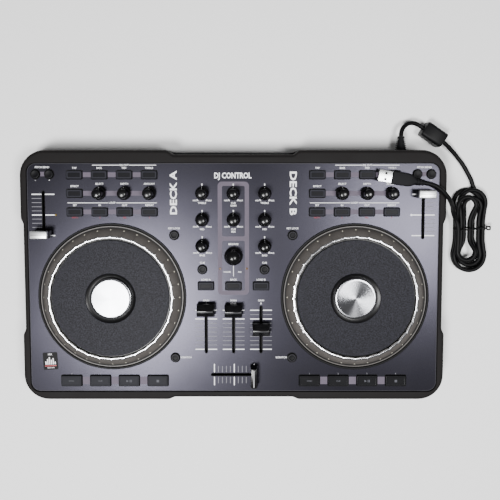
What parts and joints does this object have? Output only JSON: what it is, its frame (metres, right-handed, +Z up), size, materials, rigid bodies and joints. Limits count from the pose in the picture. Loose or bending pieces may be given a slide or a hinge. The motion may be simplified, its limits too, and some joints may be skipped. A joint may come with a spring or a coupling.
{
  "type": "dj controller",
  "caption": "Two-deck DJ controller: jog wheels, faders, knobs and keys on a metal panel in a black surround, with a fixed USB cord.",
  "frame": {"origin": "on the table, under the middle of the body without its cord", "axes": "+X towards the right deck, +Y towards the back where the cord leaves, +Z up"},
  "size_m": [0.471, 0.2798, 0.048],
  "materials": {
    "case_plastic": "moulded, fine texture",
    "surround_rubber": "soft-touch matte",
    "panel_metal": "satin charcoal metallic",
    "board_laminate": "solder mask",
    "foot_rubber": "matte",
    "jog_rim_plastic": "satin taupe grey",
    "jog_disc_plastic": "fine speckle",
    "aluminium": "spun",
    "gloss_black": "polished",
    "key_rubber": "satin",
    "shaft_steel": "turned",
    "cord_jacket": "satin",
    "choke_plastic": "moulded",
    "bright_metal": "plated"
  },
  "bodies": {
    "chassis": {"bottom_case": "case_plastic", "surround_frame": "surround_rubber", "face_panel": "panel_metal", "main_board": "board_laminate", "foot_front_left": "foot_rubber", "foot_front_right": "foot_rubber", "foot_back_left": "foot_rubber", "foot_back_right": "foot_rubber", "cord_strain_relief": "cord_jacket", "cord_lead": "cord_jacket", "ferrite_choke": "choke_plastic", "cord_hank": "cord_jacket", "cord_tail": "cord_jacket", "usb_plug_body": "cord_jacket", "usb_plug_shell": "bright_metal"},
    "left_jog": {"left_jog_wheel": "jog_rim_plastic", "left_jog_disc": "jog_disc_plastic", "left_jog_cap": "aluminium"},
    "right_jog": {"right_jog_wheel": "jog_rim_plastic", "right_jog_disc": "jog_disc_plastic", "right_jog_cap": "aluminium"},
    "left_pitch_fader": {"left_pitch_fader": "aluminium"},
    "right_pitch_fader": {"right_pitch_fader": "aluminium"},
    "channel_a_fader": {"channel_a_fader": "gloss_black"},
    "master_fader": {"master_fader": "gloss_black"},
    "channel_b_fader": {"channel_b_fader": "gloss_black"},
    "crossfader": {"crossfader": "gloss_black"},
    "left_fx_knob_1": {"left_fx_knob_1": "gloss_black"},
    "left_fx_knob_2": {"left_fx_knob_2": "gloss_black"},
    "left_fx_knob_3": {"left_fx_knob_3": "gloss_black"},
    "right_fx_knob_1": {"right_fx_knob_1": "gloss_black"},
    "right_fx_knob_2": {"right_fx_knob_2": "gloss_black"},
    "right_fx_knob_3": {"right_fx_knob_3": "gloss_black"},
    "treble_a_knob": {"treble_a_knob": "gloss_black"},
    "mid_a_knob": {"mid_a_knob": "gloss_black"},
    "bass_a_knob": {"bass_a_knob": "gloss_black"},
    "treble_b_knob": {"treble_b_knob": "gloss_black"},
    "mid_b_knob": {"mid_b_knob": "gloss_black"},
    "bass_b_knob": {"bass_b_knob": "gloss_black"},
    "cue_gain_knob": {"cue_gain_knob": "gloss_black"},
    "cue_mix_knob": {"cue_mix_knob": "gloss_black"},
    "browse_shaft": {"browse_shaft": "shaft_steel"},
    "browse_knob": {"browse_knob": "gloss_black"},
    "left_fx_keys": {"left_fx_keys": "key_rubber"},
    "left_loop_keys": {"left_loop_keys": "key_rubber"},
    "left_transport_keys": {"left_transport_keys": "key_rubber"},
    "left_bend_keys": {"left_bend_keys": "key_rubber"},
    "left_keylock_key": {"left_keylock_key": "key_rubber"},
    "left_scratch_key": {"left_scratch_key": "key_rubber"},
    "left_cue_key": {"left_cue_key": "key_rubber"},
    "right_fx_keys": {"right_fx_keys": "key_rubber"},
    "right_loop_keys": {"right_loop_keys": "key_rubber"},
    "right_transport_keys": {"right_transport_keys": "key_rubber"},
    "right_bend_keys": {"right_bend_keys": "key_rubber"},
    "right_keylock_key": {"right_keylock_key": "key_rubber"},
    "right_scratch_key": {"right_scratch_key": "key_rubber"},
    "right_cue_key": {"right_cue_key": "key_rubber"},
    "load_a_key": {"load_a_key": "key_rubber"},
    "back_key": {"back_key": "key_rubber"},
    "load_b_key": {"load_b_key": "key_rubber"}
  },
  "joints": [
    {"name": "left_jog_spin", "type": "hinge", "parent": "chassis", "child": "left_jog", "pos_m": [-0.1203, -0.0204, 0.0332], "axis": [0, 0, 1], "continuous": true},
    {"name": "right_jog_spin", "type": "hinge", "parent": "chassis", "child": "right_jog", "pos_m": [0.1203, -0.0204, 0.0332], "axis": [0, 0, 1], "continuous": true},
    {"name": "left_pitch_slide", "type": "slide", "parent": "chassis", "child": "left_pitch_fader", "axis": [0, 1, 0], "range_m": [-0.0028, 0.0392]},
    {"name": "right_pitch_slide", "type": "slide", "parent": "chassis", "child": "right_pitch_fader", "axis": [0, 1, 0], "range_m": [-0.042, 0]},
    {"name": "channel_a_fader_slide", "type": "slide", "parent": "chassis", "child": "channel_a_fader", "axis": [0, 1, 0], "range_m": [-0.042, 0]},
    {"name": "master_fader_slide", "type": "slide", "parent": "chassis", "child": "master_fader", "axis": [0, 1, 0], "range_m": [-0.0412, 0.0008]},
    {"name": "channel_b_fader_slide", "type": "slide", "parent": "chassis", "child": "channel_b_fader", "axis": [0, 1, 0], "range_m": [-0.0226, 0.0194]},
    {"name": "crossfader_slide", "type": "slide", "parent": "chassis", "child": "crossfader", "axis": [1, 0, 0], "range_m": [-0.04, 0]},
    {"name": "left_fx_knob_1_turn", "type": "hinge", "parent": "chassis", "child": "left_fx_knob_1", "pos_m": [-0.1314, 0.0825, 0.0332], "axis": [0, 0, 1], "continuous": true},
    {"name": "left_fx_knob_2_turn", "type": "hinge", "parent": "chassis", "child": "left_fx_knob_2", "pos_m": [-0.10695, 0.0825, 0.0332], "axis": [0, 0, 1], "range_deg": [-150, 150]},
    {"name": "left_fx_knob_3_turn", "type": "hinge", "parent": "chassis", "child": "left_fx_knob_3", "pos_m": [-0.0825, 0.0825, 0.0332], "axis": [0, 0, 1], "range_deg": [-150, 150]},
    {"name": "right_fx_knob_1_turn", "type": "hinge", "parent": "chassis", "child": "right_fx_knob_1", "pos_m": [0.10695, 0.0825, 0.0332], "axis": [0, 0, 1], "continuous": true},
    {"name": "right_fx_knob_2_turn", "type": "hinge", "parent": "chassis", "child": "right_fx_knob_2", "pos_m": [0.1314, 0.0825, 0.0332], "axis": [0, 0, 1], "range_deg": [-150, 150]},
    {"name": "right_fx_knob_3_turn", "type": "hinge", "parent": "chassis", "child": "right_fx_knob_3", "pos_m": [0.15585, 0.0825, 0.0332], "axis": [0, 0, 1], "range_deg": [-150, 150]},
    {"name": "treble_a_knob_turn", "type": "hinge", "parent": "chassis", "child": "treble_a_knob", "pos_m": [-0.0308, 0.0825, 0.0332], "axis": [0, 0, 1], "range_deg": [-150, 150]},
    {"name": "mid_a_knob_turn", "type": "hinge", "parent": "chassis", "child": "mid_a_knob", "pos_m": [-0.0308, 0.0565, 0.0332], "axis": [0, 0, 1], "range_deg": [-150, 150]},
    {"name": "bass_a_knob_turn", "type": "hinge", "parent": "chassis", "child": "bass_a_knob", "pos_m": [-0.0308, 0.0305, 0.0332], "axis": [0, 0, 1], "range_deg": [-150, 150]},
    {"name": "treble_b_knob_turn", "type": "hinge", "parent": "chassis", "child": "treble_b_knob", "pos_m": [0.0308, 0.0825, 0.0332], "axis": [0, 0, 1], "range_deg": [-150, 150]},
    {"name": "mid_b_knob_turn", "type": "hinge", "parent": "chassis", "child": "mid_b_knob", "pos_m": [0.0308, 0.0565, 0.0332], "axis": [0, 0, 1], "range_deg": [-150, 150]},
    {"name": "bass_b_knob_turn", "type": "hinge", "parent": "chassis", "child": "bass_b_knob", "pos_m": [0.0308, 0.0305, 0.0332], "axis": [0, 0, 1], "range_deg": [-150, 150]},
    {"name": "cue_gain_knob_turn", "type": "hinge", "parent": "chassis", "child": "cue_gain_knob", "pos_m": [0, 0.0825, 0.0332], "axis": [0, 0, 1], "range_deg": [-150, 150]},
    {"name": "cue_mix_knob_turn", "type": "hinge", "parent": "chassis", "child": "cue_mix_knob", "pos_m": [0, 0.0565, 0.0332], "axis": [0, 0, 1], "range_deg": [-150, 150]},
    {"name": "browse_push", "type": "slide", "parent": "chassis", "child": "browse_shaft", "axis": [0, 0, -1], "range_m": [0, 0.0008], "stiffness_N_per_m": 300, "springref_m": -0.002},
    {"name": "browse_turn", "type": "hinge", "parent": "browse_shaft", "child": "browse_knob", "pos_m": [0, 0.0205, 0.0332], "axis": [0, 0, 1], "continuous": true},
    {"name": "left_fx_keys_press", "type": "slide", "parent": "chassis", "child": "left_fx_keys", "axis": [0, 0, -1], "range_m": [0, 0.001], "stiffness_N_per_m": 300, "springref_m": -0.002},
    {"name": "left_loop_keys_press", "type": "slide", "parent": "chassis", "child": "left_loop_keys", "axis": [0, 0, -1], "range_m": [0, 0.001], "stiffness_N_per_m": 300, "springref_m": -0.002},
    {"name": "left_transport_keys_press", "type": "slide", "parent": "chassis", "child": "left_transport_keys", "axis": [0, 0, -1], "range_m": [0, 0.001], "stiffness_N_per_m": 300, "springref_m": -0.002},
    {"name": "left_bend_keys_press", "type": "slide", "parent": "chassis", "child": "left_bend_keys", "axis": [0, 0, -1], "range_m": [0, 0.001], "stiffness_N_per_m": 300, "springref_m": -0.002},
    {"name": "left_keylock_key_press", "type": "slide", "parent": "chassis", "child": "left_keylock_key", "axis": [0, 0, -1], "range_m": [0, 0.001], "stiffness_N_per_m": 300, "springref_m": -0.002},
    {"name": "left_scratch_key_press", "type": "slide", "parent": "chassis", "child": "left_scratch_key", "axis": [0, 0, -1], "range_m": [0, 0.001], "stiffness_N_per_m": 300, "springref_m": -0.002},
    {"name": "left_cue_key_press", "type": "slide", "parent": "chassis", "child": "left_cue_key", "axis": [0, 0, -1], "range_m": [0, 0.001], "stiffness_N_per_m": 300, "springref_m": -0.002},
    {"name": "right_fx_keys_press", "type": "slide", "parent": "chassis", "child": "right_fx_keys", "axis": [0, 0, -1], "range_m": [0, 0.001], "stiffness_N_per_m": 300, "springref_m": -0.002},
    {"name": "right_loop_keys_press", "type": "slide", "parent": "chassis", "child": "right_loop_keys", "axis": [0, 0, -1], "range_m": [0, 0.001], "stiffness_N_per_m": 300, "springref_m": -0.002},
    {"name": "right_transport_keys_press", "type": "slide", "parent": "chassis", "child": "right_transport_keys", "axis": [0, 0, -1], "range_m": [0, 0.001], "stiffness_N_per_m": 300, "springref_m": -0.002},
    {"name": "right_bend_keys_press", "type": "slide", "parent": "chassis", "child": "right_bend_keys", "axis": [0, 0, -1], "range_m": [0, 0.001], "stiffness_N_per_m": 300, "springref_m": -0.002},
    {"name": "right_keylock_key_press", "type": "slide", "parent": "chassis", "child": "right_keylock_key", "axis": [0, 0, -1], "range_m": [0, 0.001], "stiffness_N_per_m": 300, "springref_m": -0.002},
    {"name": "right_scratch_key_press", "type": "slide", "parent": "chassis", "child": "right_scratch_key", "axis": [0, 0, -1], "range_m": [0, 0.001], "stiffness_N_per_m": 300, "springref_m": -0.002},
    {"name": "right_cue_key_press", "type": "slide", "parent": "chassis", "child": "right_cue_key", "axis": [0, 0, -1], "range_m": [0, 0.001], "stiffness_N_per_m": 300, "springref_m": -0.002},
    {"name": "load_a_key_press", "type": "slide", "parent": "chassis", "child": "load_a_key", "axis": [0, 0, -1], "range_m": [0, 0.001], "stiffness_N_per_m": 300, "springref_m": -0.002},
    {"name": "back_key_press", "type": "slide", "parent": "chassis", "child": "back_key", "axis": [0, 0, -1], "range_m": [0, 0.001], "stiffness_N_per_m": 300, "springref_m": -0.002},
    {"name": "load_b_key_press", "type": "slide", "parent": "chassis", "child": "load_b_key", "axis": [0, 0, -1], "range_m": [0, 0.001], "stiffness_N_per_m": 300, "springref_m": -0.002}
  ]
}
